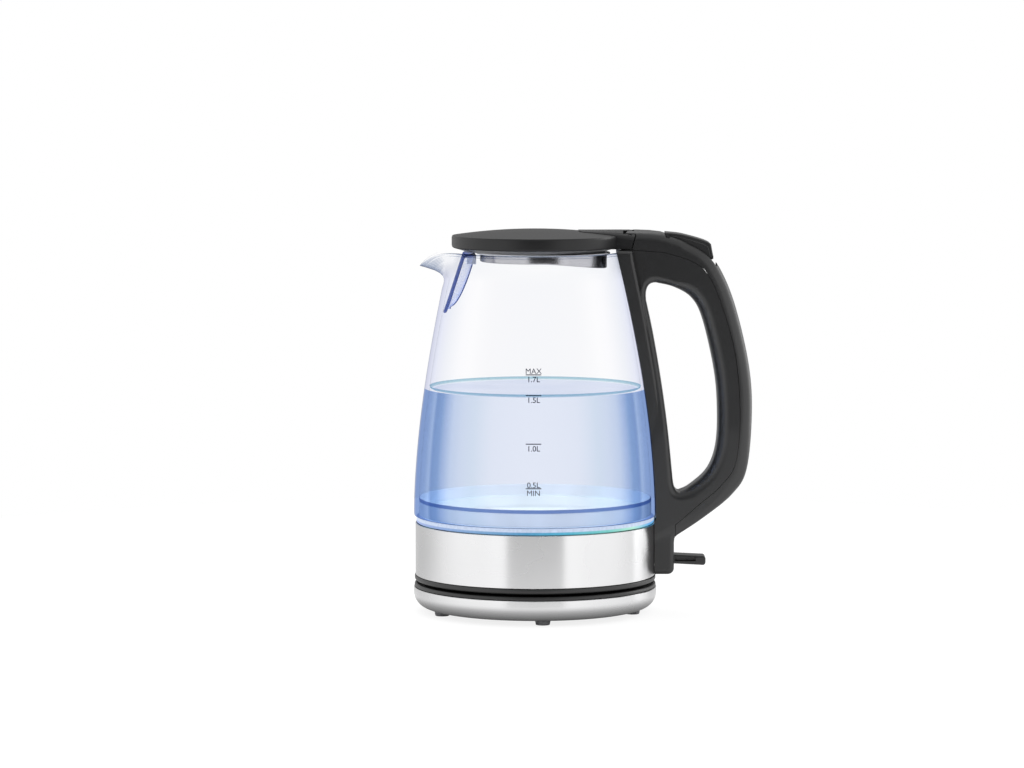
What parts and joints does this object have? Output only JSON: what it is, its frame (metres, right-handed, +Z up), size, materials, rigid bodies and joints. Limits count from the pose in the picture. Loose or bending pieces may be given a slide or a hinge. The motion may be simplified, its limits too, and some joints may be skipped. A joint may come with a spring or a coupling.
{
  "type": "electric kettle",
  "caption": "Cordless electric kettle: a tapered glass jug with a steel band, hinged lid, loop handle with lid button and on/off paddle, on a round powered base.",
  "frame": {"origin": "on the table under the middle of the whole kettle's length, on its plane of symmetry; the jug's own axis is 30.9 mm towards -X", "axes": "+Z up, +X towards the handle, -X towards the spout, +Y to the rear of the side view, where the cord leaves the base"},
  "size_m": [0.2198, 0.158, 0.2493],
  "materials": {
    "charcoal_plastic": "satin",
    "black_plastic": "satin",
    "foot_rubber": "matte",
    "gland_rubber": "matte",
    "brushed_steel": "brushed",
    "spring_steel": "polished",
    "brass": "polished",
    "aluminium": "matte",
    "clear_glass": "polished",
    "light_guide": "polished",
    "filter_blue": "satin",
    "silicone": "matte",
    "circuit_board": "satin",
    "wire_red": "satin",
    "wire_blue": "satin",
    "water": "polished",
    "gauge_ink": "matte"
  },
  "bodies": {
    "base": {"base_bottom_cover": "black_plastic", "base_trim_ring": "brushed_steel", "base_top_cover": "black_plastic", "base_connector": "black_plastic", "live_contact": "brass", "neutral_contact": "brass", "earth_contact": "brass", "cord_gland": "gland_rubber", "base_lead_1": "wire_red", "base_lead_2": "wire_blue", "base_screw_1": "spring_steel", "base_screw_2": "spring_steel", "base_screw_3": "spring_steel", "foot_1": "foot_rubber", "foot_2": "foot_rubber", "foot_3": "foot_rubber", "foot_4": "foot_rubber", "foot_5": "foot_rubber"},
    "jug_coupler": {"jug_connector": "black_plastic", "plug_pin": "brass", "plug_ring": "brass"},
    "jug": {"jug_bottom_cover": "black_plastic", "steel_band": "brushed_steel", "light_ring": "light_guide", "heating_plate": "brushed_steel", "plate_seal": "silicone", "heat_spreader": "aluminium", "heating_element": "spring_steel", "control_body": "black_plastic", "bimetal_disc_1": "spring_steel", "bimetal_disc_2": "spring_steel", "trip_pin": "spring_steel", "led_board": "circuit_board", "led_lead_1": "wire_red", "led_lead_2": "wire_blue", "glass_body": "clear_glass", "spout_filter_frame": "filter_blue", "spout_filter_mesh": "filter_blue", "handle_body": "charcoal_plastic", "handle_cover": "charcoal_plastic", "handle_screw_1": "spring_steel", "handle_screw_2": "spring_steel", "lid_hinge_pin": "spring_steel", "lid_spring": "spring_steel", "button_spring": "spring_steel", "paddle_pin": "spring_steel", "steam_tube": "silicone", "steam_bimetal": "spring_steel"},
    "lid": {"lid_cover": "charcoal_plastic", "lid_base": "charcoal_plastic", "lid_seal": "silicone", "lid_pan": "brushed_steel"},
    "lid_button": {"lid_button": "charcoal_plastic"},
    "lid_latch": {"lid_latch": "black_plastic"},
    "trip_lever": {"trip_lever": "black_plastic"},
    "power_paddle": {"power_paddle": "charcoal_plastic"}
  },
  "joints": [
    {"name": "jug_lift", "type": "slide", "parent": "base", "child": "jug_coupler", "axis": [0, 0, 1], "range_m": [0, 0.06]},
    {"name": "jug_swivel", "type": "hinge", "parent": "jug_coupler", "child": "jug", "pos_m": [-0.0309, 0, 0.03], "axis": [0, 0, 1], "continuous": true},
    {"name": "lid_hinge", "type": "hinge", "parent": "jug", "child": "lid", "pos_m": [0.0301, 0, 0.2455], "axis": [0, 1, 0], "range_deg": [0, 75], "deforming": ["lid_spring"]},
    {"name": "lid_button_press", "type": "hinge", "parent": "jug", "child": "lid_button", "pos_m": [0.0547, 0, 0.2454], "axis": [0, 1, 0], "range_deg": [0, 6], "stiffness_Nm_per_rad": 0.02, "springref_deg": -5.73, "deforming": ["button_spring"]},
    {"name": "lid_latch_slide", "type": "slide", "parent": "jug", "child": "lid_latch", "axis": [1, 0, 0], "range_m": [0, 0.0024]},
    {"name": "power_paddle_rock", "type": "hinge", "parent": "jug", "child": "power_paddle", "pos_m": [0.0531, 0, 0.036], "axis": [0, -1, 0], "range_deg": [0, 10]},
    {"name": "trip_lever_rock", "type": "hinge", "parent": "jug", "child": "trip_lever", "pos_m": [0.0001, 0, 0.0415], "axis": [0, 1, 0], "range_deg": [0, 1.2]}
  ],
  "couplings": [
    {"joint": "lid_latch_slide", "follows": "lid_button_press", "m_per_rad": 0.022},
    {"joint": "trip_lever_rock", "follows": "power_paddle_rock", "ratio": 0.1}
  ]
}
